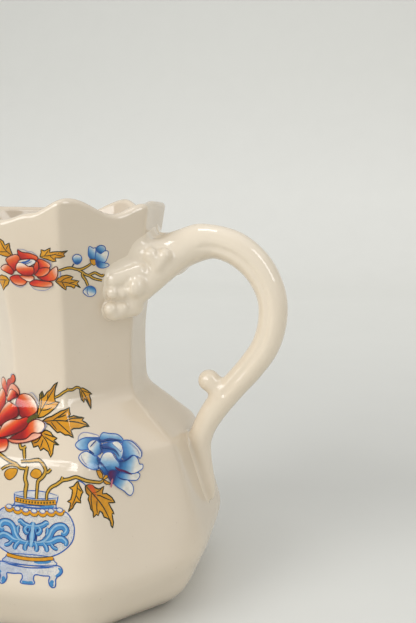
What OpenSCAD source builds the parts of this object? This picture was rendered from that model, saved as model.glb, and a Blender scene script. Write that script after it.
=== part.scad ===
// Octagonal porcelain cream jug, cast in one with a rounded belly, a narrow neck and a waved rim,
// with a looped handle whose upper end forks into two small masks, and printed flower sprays.
// Millimetres. The origin is the centre of the foot, where the jug stands. +Z is up, the handle is
// towards +X, the pouring lip towards -X, and the two main decorated panels face -Y and +Y.

/* [Body] */
// Height to the highest points of the rim
jug_height = 120; // [80:1:200]
// How deep the waves of the rim are, where 1 is the usual depth
rim_wave = 1; // [0:0.05:1.5]
// How far the pouring lip is pulled out
lip_reach = 8; // [0:0.5:14]
// Thickness of the wall, measured level
wall = 3.1; // [2:0.1:5]
// How sharp the eight upright edges of the neck are
edge_sharpness = 80; // [30:5:120]

/* [Foot] */
// Width of the foot ring that touches the table
foot_width = 3.6; // [2:0.1:6]
// How far the underside is hollowed inside the foot ring
foot_hollow = 2.2; // [0:0.1:4]

/* [Handle] */
// Thickness of the handle, where 1 is the usual thickness
handle_thickness = 1; // [0.8:0.05:1.2]
// Size of the thumb knob under the handle
knob_radius = 3.3; // [2:0.1:4.5]
// How far the two masks stand off the neck, where 1 is the usual relief
mask_relief = 1; // [0.7:0.05:1.2]

/* [Decoration] */
// Thickness of the printed colour
print_thickness = 0.2; // [0.1:0.05:0.6]

/* [Hidden] */

design_height = 120;
size_factor = jug_height / design_height;
waist_height = 84;
floor_height = 5.2;
lip_radius = wall / 2;
columns_per_panel = 9;

porcelain = [0.86, 0.81, 0.72];
red_ink = [0.75, 0.20, 0.12];
blue_ink = [0.24, 0.40, 0.72];
gold_ink = [0.78, 0.54, 0.16];

// Outer wall on a diagonal panel: distance from the axis, height, and how far each corner is eased.
outer_keys = [[34.6, 0, 0], [41.0, 6, 4], [48.4, 19, 4], [37.3, 50.3, 1.6],
              [22.3, 63.2, 3], [21.7, 82, 9], [26.7, 107.5, 6], [28.5, 120, 0]];
// Inner wall, given the same way from the floor up.
inner_keys = [[34.0, 3, 0], [38.4, 8, 4], [45.5, 19.4, 9], [34.2, 48.6, 3.2],
              [19.2, 61.6, 3.5], [18.6, 82, 9], [23.6, 107.5, 6], [25.4, 120, 0]];
// Rim height around the jug: angle from the handle, and height.
rim_keys = [[-180, 120.5], [-150, 117.3], [-128, 115.6], [-104, 113.8], [-88, 115.4], [-68, 120],
            [-40, 115.9], [-20, 118.8], [0, 119.6], [20, 119.4], [44, 117.4], [68, 120.3],
            [96, 116], [125, 117.6], [152, 117.8], [180, 120.5]];

function mix(a, b, t) = a + (b - a) * t;
function ease(t) = (1 - cos(180 * min(1, max(0, t)))) / 2;
function unit(v) = v / norm(v);

// A run of key points whose corners are replaced by smooth curves.
function eased(keys, steps) = [
    for (i = [0 : len(keys) - 1])
        let (b = [keys[i][0], keys[i][1]], d = keys[i][2])
        if (d == 0) b
        else
            let (before = [keys[i - 1][0], keys[i - 1][1]], after = [keys[i + 1][0], keys[i + 1][1]],
                 p = b + unit(before - b) * d, q = b + unit(after - b) * d)
            each [for (j = [0 : steps]) let (t = j / steps) mix(mix(p, b, t), mix(b, q, t), t)]
];
function by_height(points) = [for (p = points) [p[1], p[0]]];
outer_table = by_height(eased(outer_keys, 8));
inner_table = by_height(eased(inner_keys, 8));
function outer_size(z) = lookup(z, outer_table);
function inner_size(z) = outer_size(z) - (outer_size(z) - lookup(z, inner_table)) * wall / 3.1;

// The octagon isn't quite regular: front and back panels, and the handle and lip panels, differ.
function front_ratio(z) = lookup(z, [[50.3, 0.974], [63.2, 1.074]]);
function end_ratio(z) = lookup(z, [[0, 0.983], [16, 0.962], [50.3, 0.991], [63.2, 1.017]]);
function panel_ratio(k, z) = k % 4 == 0 ? end_ratio(z) : (k % 4 == 2 ? front_ratio(z) : 1);

// The belly is nearly round at its widest; the foot, shoulder and neck have crisp edges.
function sharpness(z) =
    z < 18 ? mix(60, 18, ease(z / 18)) :
    z < 50 ? mix(18, 56, ease((z - 18) / 32)) :
    mix(56, edge_sharpness, ease((z - 50) / 14));

function corner_angle(k, z) =
    let (a = panel_ratio(k, z), b = panel_ratio(k + 1, z))
    45 * k + atan2((b - a * cos(45)) / sin(45), a);

function rim_height(angle) =
    let (a = angle - 360 * floor((angle + 180) / 360),
         i = max([for (n = [0 : len(rim_keys) - 2]) a >= rim_keys[n][0] ? n : 0]),
         t = (a - rim_keys[i][0]) / (rim_keys[i + 1][0] - rim_keys[i][0]))
    design_height + rim_wave * (mix(rim_keys[i][1], rim_keys[i + 1][1], ease(t)) - design_height);

function lip_pull(angle, z) =
    let (a = angle - 360 * floor(angle / 360) - 180)
    lip_reach * pow(max(0, (z - 88) / 32), 1.6) * exp(-pow(a / 21, 2));

function section(angle, size, z) =
    let (p = sharpness(z),
         total = [for (k = [0 : 7]) pow(max(0, cos(angle - 45 * k)) / panel_ratio(k, z), p)]
                 * [1, 1, 1, 1, 1, 1, 1, 1])
    size * pow(total, -1 / p) + lip_pull(angle, z) * size / outer_size(z);

// Columns crowd towards the upright edges, so the edges stay crisp.
column_count = 8 * columns_per_panel;
function column_angle(i, z) =
    let (k = floor(i / columns_per_panel), t = (i % columns_per_panel) / columns_per_panel,
         eased_t = t - 0.105 * sin(360 * t))
    mix(corner_angle(k - 1, z), corner_angle(k, z), eased_t);

// One point of a ring. Rings above the waist bend with the rim; side 0 is the outer wall, 1 the inner.
function ring_point(i, height, side, extra) =
    let (angle = column_angle(i, height),
         top = design_height - lip_radius,
         lift = max(0, (height - waist_height) / (top - waist_height)),
         z = height + min(1, lift) * (rim_height(angle) - design_height),
         size = mix(outer_size(z), inner_size(z), side) + extra,
         r = section(angle, size, z))
    [r * cos(angle), r * sin(angle), z];
function wall_ring(height, side, extra) =
    [for (i = [0 : column_count - 1]) ring_point(i, height, side, extra)];

wall_heights = [0, 3, 6, 9, 12, 15, 17.4, 19.1, 21, 25, 30, 36, 43, 48.7, 49.8, 50.7, 51.7, 57, 61.8, 62.7,
                63.7, 65, 73, 80, 86, 92, 98, 103, 107, 111, 115, design_height - lip_radius];
inner_heights = [115, 110, 104, 96, 88, 80, 70, 64, 62, 60.5, 55, 50, 48, 46, 40, 32, 25, 19, 14, 10,
                 7, floor_height];

outer_rings = [for (z = wall_heights) wall_ring(z, 0, 0)];
rim_rings = [for (turn = [30 : 30 : 180])
    [for (i = [0 : column_count - 1])
        let (p = ring_point(i, design_height - lip_radius, (1 - cos(turn)) / 2, 0))
        [p[0], p[1], p[2] + lip_radius * sin(turn)]]];
inner_rings = [for (z = inner_heights) wall_ring(z, 1, 0)];

// Closes a stack of equal rings into a solid, with a point in the middle of each end.
module ring_stack(rings) {
    n = len(rings[0]);
    m = len(rings);
    points = [for (r = rings) each r];
    ends = [[0, 0, rings[0][0][2]], [0, 0, rings[m - 1][0][2]]];
    sides = [for (j = [0 : m - 2], i = [0 : n - 1])
        let (a = j * n + i, b = j * n + (i + 1) % n)
        each [[a, a + n, b], [b, a + n, b + n]]];
    bottom = [for (i = [0 : n - 1]) [n * m, i, (i + 1) % n]];
    top = [for (i = [0 : n - 1]) [n * m + 1, (m - 1) * n + (i + 1) % n, (m - 1) * n + i]];
    polyhedron(points = concat(points, ends), faces = concat(sides, bottom, top));
}

// The jug as if it were solid, grown by a little; it trims whatever is stuck to the outside.
module jug_solid(grown) {
    ring_stack([for (z = wall_heights) wall_ring(z, 0, grown)]);
}

// The shallow hollow inside the foot ring: an octagon that follows the foot.
module underside_hollow() {
    size = outer_size(0) - foot_width;
    corners = [for (k = [0 : 7])
        let (angle = corner_angle(k, 0), r = size * panel_ratio(k, 0) / cos(angle - 45 * k))
        [r * cos(angle), r * sin(angle)]];
    translate([0, 0, -1])
        linear_extrude(height = foot_hollow + 1)
            polygon(corners);
}

module body() {
    color(porcelain)
        scale(size_factor)
            difference() {
                ring_stack(concat(outer_rings, rim_rings, inner_rings));
                underside_hollow();
            }
}

// A smooth curve through a list of points of any size.
function through(keys, steps) = [
    for (i = [0 : len(keys) - 2])
        let (p0 = keys[max(0, i - 1)], p1 = keys[i], p2 = keys[i + 1], p3 = keys[min(len(keys) - 1, i + 2)])
        for (j = [0 : steps - (i == len(keys) - 2 ? 0 : 1)])
            let (t = j / steps)
            0.5 * (2 * p1 + (p2 - p0) * t + (2 * p0 - 5 * p1 + 4 * p2 - p3) * t * t
                   + (3 * p1 - p0 - 3 * p2 + p3) * t * t * t)
];

// A round bar along a curve: each key is x, y, z, half thickness and half width.
module bar(keys, steps, sides) {
    path = through(keys, steps);
    count = len(path);
    rings = [for (i = [0 : count - 1])
        let (k = path[i],
             ahead = path[min(count - 1, i + 1)], behind = path[max(0, i - 1)],
             way = unit([ahead[0] - behind[0], ahead[1] - behind[1], ahead[2] - behind[2]]),
             up = unit(cross(way, [0, 1, 0])), side = cross(up, way))
        [for (a = [0 : sides - 1])
            let (turn = 360 * a / sides)
            [k[0], k[1], k[2]] + handle_thickness * (k[3] * cos(turn) * up + k[4] * sin(turn) * side)]];
    n = sides;
    last = count - 1;
    points = concat([for (r = rings) each r],
                    [[path[0][0], path[0][1], path[0][2]], [path[last][0], path[last][1], path[last][2]]]);
    faces = concat(
        [for (j = [0 : last - 1], i = [0 : n - 1])
            let (a = j * n + i, b = j * n + (i + 1) % n)
            each [[a, b, a + n], [b, b + n, a + n]]],
        [for (i = [0 : n - 1]) [n * count, (i + 1) % n, i]],
        [for (i = [0 : n - 1]) [n * count + 1, last * n + i, last * n + (i + 1) % n]]);
    polyhedron(points = points, faces = faces);
}

// The loop from the fork above, round the outside and down into the tail on the belly.
loop_keys = [[36.0, 0, 105.6, 5.0, 4.6], [41.0, 0, 107.5, 5.3, 4.9], [46.5, 0, 107.6, 4.9, 4.8],
             [53.0, 0, 105.3, 4.9, 4.8], [59.0, 0, 100.0, 4.7, 4.7], [62.8, 0, 92.5, 4.4, 4.5],
             [63.4, 0, 85.0, 4.3, 4.4], [61.4, 0, 77.0, 4.2, 4.3], [57.0, 0, 70.2, 4.1, 4.2],
             [51.6, 0, 63.8, 4.0, 4.1], [46.6, 0, 57.4, 3.8, 4.0], [43.2, 0, 51.6, 3.5, 3.8],
             [41.6, 0, 46.6, 3.4, 3.6], [42.0, 0, 42.0, 2.9, 3.2], [43.0, 0, 37.0, 2.4, 2.8],
             [44.4, 0, 32.0, 1.7, 2.2], [45.2, 0, 28.6, 0.7, 1.0]];
limb_keys = [[41.0, 0, 107.2, 4.6, 4.2], [36.6, -2.4, 104.9, 5.0, 4.4], [32.2, -5.6, 101.4, 5.1, 4.4],
             [28.2, -8.8, 97.6, 5.0, 4.4], [24.4, -11.0, 93.6, 4.4, 4.0]];
// The limb on the far side reaches a little further round the neck, and its mask sits a little higher.
far_limb_keys = [[41.0, 0, 107.2, 4.6, 4.2], [36.6, -2.4, 104.9, 5.0, 4.4], [31.1, -6.2, 102.0, 5.1, 4.4],
                 [25.4, -10.3, 99.0, 5.0, 4.4], [21.4, -12.6, 95.1, 4.4, 4.0]];
far_move = [-2.97, -1.56, 1.5];
// The web that fills the fork between the two limbs and the neck.
web_start = [37.0, 0, 105.3];
web_end = [27.0, -7.6, 103.6];

// A small beast mask lying over the first upright edge of the neck beside the handle. It is placed
// on the diagonal panel: along it, out of it, and up. Each ball is along, out, height, radius.
mask_base = 24;
module on_panel(along, out, height) {
    rotate([0, 0, -45])
        translate([mask_base + (out - mask_base) * mask_relief, along, height])
            children();
}
module mask_ball(b) {
    on_panel(b[0], b[1], b[2])
        sphere(r = b[3], $fn = 14);
}
module mask_ridge(a, b) {
    hull() {
        mask_ball(a);
        mask_ball(b);
    }
}
mask_ridges = [
    [[2.6, 25.4, 98.2, 2.4], [9.6, 26.6, 99.6, 3.2]],
    [[3.4, 24.2, 94.6, 3.4], [9.0, 25.0, 95.0, 4.2]],
    [[3.0, 23.8, 88.4, 2.8], [9.4, 24.0, 89.2, 3.2]],
    [[4.2, 22.9, 86.6, 2.2], [8.6, 22.9, 86.9, 2.2]]];
mask_balls = [[8.8, 27.0, 96.2, 3.4], [2.4, 26.0, 94.2, 1.9], [5.2, 26.8, 94.0, 1.8],
              [2.2, 25.0, 88.8, 2.3], [5.8, 25.6, 88.6, 2.5], [9.6, 25.6, 90.2, 2.7]];

module mask_and_limb(keys, move) {
    bar(keys, 3, 14);
    hull() {
        translate(web_start)
            sphere(r = 4.6, $fn = 18);
        translate(web_end + move)
            sphere(r = 4.2, $fn = 18);
    }
    translate(move) {
        for (r = mask_ridges)
            mask_ridge(r[0], r[1]);
        for (b = mask_balls)
            mask_ball(b);
    }
}

module handle_shape() {
    bar(loop_keys, 4, 16);
    hull() {
        translate([44.4, 0, 65.6])
            sphere(r = knob_radius, $fn = 18);
        translate([49.0, 0, 61.4])
            sphere(r = knob_radius * 0.8, $fn = 18);
    }
    mask_and_limb(limb_keys, [0, 0, 0]);
    mirror([0, 1, 0])
        mask_and_limb(far_limb_keys, far_move);
}

module handle() {
    color(porcelain)
        scale(size_factor)
            difference() {
                handle_shape();
                jug_solid(0);
            }
}

// The flat artwork: x runs along the panels as seen square to the edge between the front panel
// and the next one, and y is the height on the jug.
module leaf(x, y, length, width, turn) {
    r = (length * length + width * width) / (4 * width);
    translate([x, y])
        rotate(turn)
            intersection() {
                translate([length / 2, r - width / 2])
                    circle(r = r, $fn = 48);
                translate([length / 2, width / 2 - r])
                    circle(r = r, $fn = 48);
            }
}
module petals(x, y, wide, high, count, petal) {
    circle_size = petal;
    for (i = [0 : count - 1])
        let (turn = 360 * i / count + 15)
            translate([x + (wide - circle_size) * cos(turn), y + (high - circle_size) * sin(turn)])
                circle(r = circle_size, $fn = 24);
    translate([x, y])
        scale([wide - circle_size, high - circle_size])
            circle(r = 1, $fn = 40);
}
module stem(points, width) {
    for (i = [0 : len(points) - 2])
        let (a = points[i], b = points[i + 1], way = unit(b - a), side = [-way[1], way[0]] * width / 2)
            polygon([a - way * width / 3 - side, b + way * width / 3 - side,
                     b + way * width / 3 + side, a - way * width / 3 + side]);
}

module red_art() {
    petals(-10.2, 101, 7.6, 5.4, 8, 2.5);
    petals(-17.6, 60.6, 10.8, 9.6, 9, 4.0);
}
vase_middle = -11.5;
module vase_outline() {
    translate([vase_middle, 33.9])
        scale([10.1, 6.9])
            circle(r = 1, $fn = 64);
    translate([vase_middle - 6, 38])
        square([12, 5]);
    translate([vase_middle - 6.6, 25.2])
        square([13.2, 3.2]);
    translate([vase_middle - 7.8, 23])
        square([15.6, 2.4]);
    for (x = [-6.6, 0, 6.6])
        translate([vase_middle + x, 22.2])
            circle(r = 1.5, $fn = 20);
}
module vase_bands() {
    translate([vase_middle - 5.8, 40.2])
        square([11.6, 1.5]);
    translate([vase_middle - 8, 38.2])
        square([16, 1]);
    translate([vase_middle - 6.4, 26.7])
        square([12.8, 0.9]);
}
module blue_art() {
    difference() {
        petals(8.6, 49.4, 8.6, 7.6, 8, 3.2);
        red_art();
    }
    difference() {
        vase_outline();
        vase_bands();
    }
    translate([2.2, 103.8])
        circle(r = 1.25, $fn = 20);
    translate([5.4, 94.6])
        circle(r = 1.6, $fn = 24);
    petals(8.8, 104.4, 2.6, 3.0, 5, 1.1);
}
module gold_art() {
    difference() {
        union() {
            vase_bands();
            leaf(-14, 104.5, 6, 3.2, 128);
            leaf(-15.2, 98.4, 4.6, 2.6, 232);
            leaf(-5.2, 104, 6.2, 3, 22);
            leaf(-3.2, 100, 7.6, 3.2, -36);
            stem([[-3, 101], [0.4, 101.7], [2.8, 101], [6.4, 102.4]], 0.7);
            stem([[2.8, 101], [5.9, 100], [9.6, 99.2]], 0.6);
            stem([[4.2, 100.5], [5.3, 96]], 0.6);
            leaf(-9.4, 61, 10.6, 4.6, 50);
            leaf(-8.4, 58.4, 12.8, 5.2, -4);
            leaf(-9.8, 57.2, 7.6, 4.2, -44);
            stem([[-4.4, 66.6], [-1.4, 67.8], [2, 67.2]], 0.8);
            leaf(1.6, 67.6, 7, 3, -62);
            stem([[-13.8, 42.8], [-13.6, 47], [-16.6, 47.6]], 1);
            stem([[-10.7, 42.8], [-10.4, 46.6]], 1);
            stem([[-8, 42.8], [-4.6, 46.6], [-1.4, 48], [2, 47.2]], 1);
            leaf(-1, 47.8, 7.4, 3.4, -108);
            leaf(1.4, 47.2, 14.6, 5, -62);
            translate([-10.2, 47.6])
                circle(r = 1.5, $fn = 20);
        }
        red_art();
        blue_art();
    }
}

// Lays flat artwork on the outside of the jug as a thin film that follows its panels.
module film(turn) {
    scale(size_factor)
        difference() {
            intersection() {
                jug_solid(print_thickness);
                rotate([0, 0, turn])
                    rotate([90, 0, 22.5])
                        linear_extrude(height = 70)
                            children();
            }
            jug_solid(0);
        }
}

module front_red_print() {
    color(red_ink)
        film(0)
            red_art();
}
module front_blue_print() {
    color(blue_ink)
        film(0)
            blue_art();
}
module front_gold_print() {
    color(gold_ink)
        film(0)
            gold_art();
}
module back_red_print() {
    color(red_ink)
        film(180)
            red_art();
}
module back_blue_print() {
    color(blue_ink)
        film(180)
            blue_art();
}
module back_gold_print() {
    color(gold_ink)
        film(180)
            gold_art();
}

body();
handle();
front_red_print();
front_blue_print();
front_gold_print();
back_red_print();
back_blue_print();
back_gold_print();
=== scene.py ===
"""Looks of the octagonal cream jug: an eight-sided porcelain body, a looped handle that forks into
two masks, and printed flower sprays. Lengths are in millimetres until the last step, where each
mesh is scaled to metres in the row frame: +Z up, handle towards +X, main decorated panel towards -Y.
"""
import math

import bpy
import numpy as np
from mathutils import Matrix, Vector
from mathutils.geometry import delaunay_2d_cdt


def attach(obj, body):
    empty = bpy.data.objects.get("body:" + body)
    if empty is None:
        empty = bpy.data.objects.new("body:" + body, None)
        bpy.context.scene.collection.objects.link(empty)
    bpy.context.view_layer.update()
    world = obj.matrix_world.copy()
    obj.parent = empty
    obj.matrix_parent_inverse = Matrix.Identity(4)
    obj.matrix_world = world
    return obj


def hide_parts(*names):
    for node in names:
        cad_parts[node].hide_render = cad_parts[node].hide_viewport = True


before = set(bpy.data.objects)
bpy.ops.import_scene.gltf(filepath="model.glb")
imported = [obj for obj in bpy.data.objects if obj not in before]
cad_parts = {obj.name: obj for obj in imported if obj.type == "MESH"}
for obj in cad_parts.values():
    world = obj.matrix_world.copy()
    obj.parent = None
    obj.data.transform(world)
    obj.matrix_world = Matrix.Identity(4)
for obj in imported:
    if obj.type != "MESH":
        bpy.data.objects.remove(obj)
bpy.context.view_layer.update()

MM = 0.001
TAU = 2 * math.pi


# ---------------------------------------------------------------- the form of the body
# Outer wall on a diagonal panel: distance from the axis, height, and how far each corner is eased.
OUTER_KEYS = [(34.6, 0, 0), (41.0, 6, 4), (48.4, 19, 3.6), (37.3, 50.3, 1.6),
              (22.3, 63.2, 3.0), (21.7, 82, 9), (26.7, 107.5, 6), (28.5, 120, 0)]
INNER_KEYS = [(34.0, 3, 0), (38.4, 8, 4), (45.5, 19.4, 9), (34.2, 48.6, 3.2),
              (19.2, 61.6, 3.5), (18.6, 82, 9), (23.6, 107.5, 6), (25.4, 120, 0)]
# Rim height around the jug: angle from the handle, and height.
RIM_KEYS = [(-180, 120.5), (-150, 117.3), (-128, 115.8), (-104, 114.6), (-88, 116.4), (-68, 120.2),
            (-40, 115.9), (-20, 118.8), (0, 119.6), (20, 119.4), (44, 117.4), (68, 120.3),
            (96, 116), (125, 117.6), (152, 117.8), (180, 120.5)]
RIM_TOP = 120.0
WAIST = 84.0
WALL = 3.1
FLOOR_HEIGHT = 5.2
# The pouring lip: how far it is pulled out, where that begins, and its half width in degrees.
LIP_REACH, LIP_START, LIP_SPREAD = 8.0, 88.0, 21
# The crispness of the upright edges: at the foot, widest part, shoulder and neck, and inside at most.
FOOT_SHARPNESS, BELLY_SHARPNESS, SHOULDER_SHARPNESS, NECK_SHARPNESS = 60, 18, 56, 80
BELLY_HEIGHT, SHOULDER_HEIGHT, NECK_HEIGHT = 18, 50, 64
INNER_SHARPNESS = 16
# Heights, and how far out the end panels and the front and back ones lie there, against the others.
END_RATIOS = ([0, 16, 50.3, 63.2], [0.983, 0.962, 0.991, 1.017])
FRONT_RATIOS = ([50.3, 63.2], [0.974, 1.074])
# The foot ring and the step above it: outwards from the foot's flat panels, and height.
FOOT_PROFILE = [(-3.95, 0.45), (-3.6, 0.1), (-3.2, 0), (-1.7, 0), (-1.35, 0.12), (-1.2, 0.4),
                (-0.5, 0.46), (0.1, 0.55)]
FOOT_HOLLOW = 2.2
HOLLOW_EDGE = 5.2
# Heights at which the rings of the mesh are crowded, and over how far; then the gaps between rings.
CROWDED_HEIGHTS = [(50.3, 4.0), (63.2, 4.5), (6, 5.0), (82, 8.0)]
FINEST_GAP, WIDEST_GAP = 0.32, 1.3
EDGE_CROWDING = 0.085
FLOOR_ROUNDING = 3
FLOOR_NARROWING = 0.075


def eased(keys, steps=24):
    """The key points joined up, with each corner replaced by a smooth curve; columns size, height."""
    out = []
    for i, (size, height, ease_by) in enumerate(keys):
        b = np.array([size, height], float)
        if ease_by == 0:
            out.append(b)
            continue
        before = np.array(keys[i - 1][:2], float)
        after = np.array(keys[i + 1][:2], float)
        p = b + (before - b) / np.linalg.norm(before - b) * ease_by
        q = b + (after - b) / np.linalg.norm(after - b) * ease_by
        for t in np.linspace(0, 1, steps):
            out.append((1 - t) ** 2 * p + 2 * t * (1 - t) * b + t * t * q)
    return np.array(out)


OUTER = eased(OUTER_KEYS)
INNER = eased(INNER_KEYS)


def outer_size(z):
    return np.interp(z, OUTER[:, 1], OUTER[:, 0])


def inner_size(z):
    return np.interp(z, INNER[:, 1], INNER[:, 0])


def ease(t):
    return (1 - np.cos(math.pi * np.clip(t, 0, 1))) / 2


def panel_ratio(k, z):
    """The octagon isn't quite regular: front and back panels, and the two end panels, differ."""
    if k % 4 == 0:
        return np.interp(z, *END_RATIOS)
    if k % 4 == 2:
        return np.interp(z, *FRONT_RATIOS)
    return np.ones_like(z)


def sharpness(z):
    """How crisp the eight edges are: nearly round at the widest part of the belly."""
    steps = ((FOOT_SHARPNESS, BELLY_SHARPNESS, 0, BELLY_HEIGHT),
             (BELLY_SHARPNESS, SHOULDER_SHARPNESS, BELLY_HEIGHT, SHOULDER_HEIGHT),
             (SHOULDER_SHARPNESS, NECK_SHARPNESS, SHOULDER_HEIGHT, NECK_HEIGHT))
    low, mid, high = [a + (b - a) * ease((z - start) / (end - start)) for a, b, start, end in steps]
    return np.where(z < BELLY_HEIGHT, low, np.where(z < SHOULDER_HEIGHT, mid, high))


def rim_height(angle):
    a = (np.degrees(angle) + 180) % 360 - 180
    at, height = np.array(RIM_KEYS, float).T
    i = np.clip(np.searchsorted(at, a, side="right") - 1, 0, len(at) - 2)
    t = ease((a - at[i]) / (at[i + 1] - at[i]))
    return height[i] + (height[i + 1] - height[i]) * t


def lip_pull(angle, z):
    a = np.degrees(angle) % 360 - 180
    rise = np.maximum(0, (z - LIP_START) / (RIM_TOP - LIP_START)) ** 1.6
    return LIP_REACH * rise * np.exp(-(a / LIP_SPREAD) ** 2)


def hand_made(angle, z):
    """The slight unevenness of a cast and sponged wall."""
    return (0.055 * np.sin(3 * angle + 0.09 * z + 0.7) + 0.045 * np.sin(5 * angle - 0.13 * z + 2.1)
            + 0.03 * np.sin(9 * angle + 0.21 * z) + 0.025 * np.sin(0.31 * z + 4 * angle + 1.3))


def section(angle, size, z, side=0.0):
    """Distance of the wall from the axis, where size is the distance to a flat diagonal panel and
    side is 0 on the outer face and 1 on the inner."""
    p = sharpness(z)
    p = p + (np.minimum(p, INNER_SHARPNESS) - p) * side
    total = 0
    for k in range(8):
        total = total + (np.maximum(0, np.cos(angle - k * math.pi / 4)) / panel_ratio(k, z)) ** p
    share = size / outer_size(z)
    return size * total ** (-1 / p) + (lip_pull(angle, z) + hand_made(angle, z)) * share


def corner_angle(k, z):
    a, b = panel_ratio(k, z), panel_ratio(k + 1, z)
    return k * math.pi / 4 + np.arctan2((b - a * math.cos(math.pi / 4)) / math.sin(math.pi / 4), a)


PER_PANEL = 44
COLUMNS = 8 * PER_PANEL


def column_angles(z):
    """Angles of the mesh columns, crowded towards the eight upright edges."""
    i = np.arange(COLUMNS)
    k, t = i // PER_PANEL, (i % PER_PANEL) / PER_PANEL
    t = t - EDGE_CROWDING * np.sin(TAU * t)
    zz = np.full(8, float(z))
    corners = np.array([corner_angle(n, zz)[0] for n in range(-1, 8)])
    return corners[k] + (corners[k + 1] - corners[k]) * t


def wall_ring(height, side):
    """One ring of the wall; side 0 is the outer face and 1 the inner."""
    angle = column_angles(height)
    top = RIM_TOP - WALL / 2
    lift = min(1.0, max(0.0, (height - WAIST) / (top - WAIST)))
    z = height + lift * (rim_height(angle) - RIM_TOP)
    size = outer_size(z) * (1 - side) + inner_size(z) * side
    r = section(angle, size, z, side)
    return np.stack([r * np.cos(angle), r * np.sin(angle), z], 1)


def foot_ring(size, height):
    angle = column_angles(0)
    r = section(angle, size, np.full(COLUMNS, 0.0))
    return np.stack([r * np.cos(angle), r * np.sin(angle), np.full(COLUMNS, float(height))], 1)


def wall_heights():
    """Heights of the rings, closer together where the profile turns quickly."""
    z, out = 1.0, []
    top = RIM_TOP - WALL / 2
    while z < top:
        out.append(z)
        z += min([WIDEST_GAP] + [FINEST_GAP + 0.9 * (abs(z - c) / w) ** 2 for c, w in CROWDED_HEIGHTS])
    out.append(top)
    return out


def grid_faces(rows, cols, offset=0):
    j, i = np.meshgrid(np.arange(rows - 1), np.arange(cols), indexing="ij")
    a, b = j * cols + i, j * cols + (i + 1) % cols
    return (np.stack([a, b, b + cols, a + cols], -1).reshape(-1, 4) + offset).tolist()


def new_mesh(name, points, faces):
    """A mesh object whose points are given in millimetres."""
    mesh = bpy.data.meshes.new(name)
    mesh.from_pydata((np.asarray(points, float) * MM).tolist(), [], faces)
    mesh.update()
    mesh.polygons.foreach_set("use_smooth", [True] * len(mesh.polygons))
    obj = bpy.data.objects.new(name, mesh)
    bpy.context.scene.collection.objects.link(obj)
    return obj


def make_body():
    """The jug's wall as rings, from under the foot up the outside, over the rim and down to the floor."""
    rings = []
    base = outer_size(0.0)
    hollow = base - HOLLOW_EDGE
    half = WALL / 2
    for t in np.linspace(0.02, 1, 8):
        rings.append(foot_ring(hollow * t, FOOT_HOLLOW))
    for t in np.linspace(0, 1, 7)[1:]:
        turn = t * math.pi / 2
        rings.append(foot_ring(hollow + math.sin(turn), FOOT_HOLLOW - 1 + math.cos(turn)))
    for out, height in FOOT_PROFILE:
        rings.append(foot_ring(base + out, height))
    for z in wall_heights():
        rings.append(wall_ring(z, 0))
    for turn in np.radians(np.arange(10, 181, 10)):
        ring = wall_ring(RIM_TOP - half, (1 - math.cos(turn)) / 2)
        ring[:, 2] += half * math.sin(turn)
        rings.append(ring)
    floor_edge = FLOOR_HEIGHT + FLOOR_ROUNDING
    for z in wall_heights()[::-1]:
        if floor_edge < z < RIM_TOP - half:
            rings.append(wall_ring(z, 1))
    for t in np.linspace(0, 1, 8)[1:]:
        ring = wall_ring(floor_edge, 1)
        turn = t * math.pi / 2
        ring[:, :2] *= 1 - FLOOR_NARROWING * (1 - math.cos(turn))
        ring[:, 2] -= FLOOR_ROUNDING * math.sin(turn)
        rings.append(ring)
    last = rings[-1]
    for t in np.linspace(0.9, 0.02, 10):
        ring = last.copy()
        ring[:, :2] *= t
        rings.append(ring)
    faces = grid_faces(len(rings), COLUMNS)
    faces.append(list(range(COLUMNS))[::-1])
    end = (len(rings) - 1) * COLUMNS
    faces.append([end + i for i in range(COLUMNS)])
    return new_mesh("jug_body", np.concatenate(rings), faces)


# ---------------------------------------------------------------- the form of the handle
# x, y, z and half thickness along the loop, then along the limb that carries the mask on one side.
LOOP_KEYS = [(36.0, 0, 105.9, 4.9), (41.0, 0, 107.5, 5.1), (46.5, 0, 107.6, 4.9), (53.0, 0, 105.3, 4.9),
             (59.0, 0, 100.0, 4.7), (62.8, 0, 92.5, 4.4), (63.4, 0, 85.0, 4.3), (61.4, 0, 77.0, 4.2),
             (57.0, 0, 70.2, 4.1), (51.6, 0, 63.8, 4.0), (46.6, 0, 57.4, 3.9), (43.2, 0, 51.6, 3.6),
             (41.6, 0, 46.6, 3.5), (42.0, 0, 42.0, 3.0), (42.9, 0, 37.0, 2.7), (44.1, 0, 32.0, 2.2),
             (44.9, 0, 28.8, 1.2)]
LIMB_KEYS = [(41.0, 0, 107.2, 4.4), (36.6, 2.4, 104.9, 4.8), (32.2, 5.6, 101.4, 4.8),
             (28.2, 8.8, 97.6, 4.7), (24.4, 11.0, 93.6, 4.2)]
KNOB = [(44.3, 0, 65.6, 3.3), (49.0, 0, 61.4, 2.7)]
# What fills the fork between the two limbs: a bar under each limb, and one along the middle.
WEB = [(36.5, 0, 106.4, 3.4), (27.0, 7.6, 103.6, 4.4)]
SADDLE = [(36.5, 0, 106.6, 3.6), (26.0, 0, 104.6, 4.6)]
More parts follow.
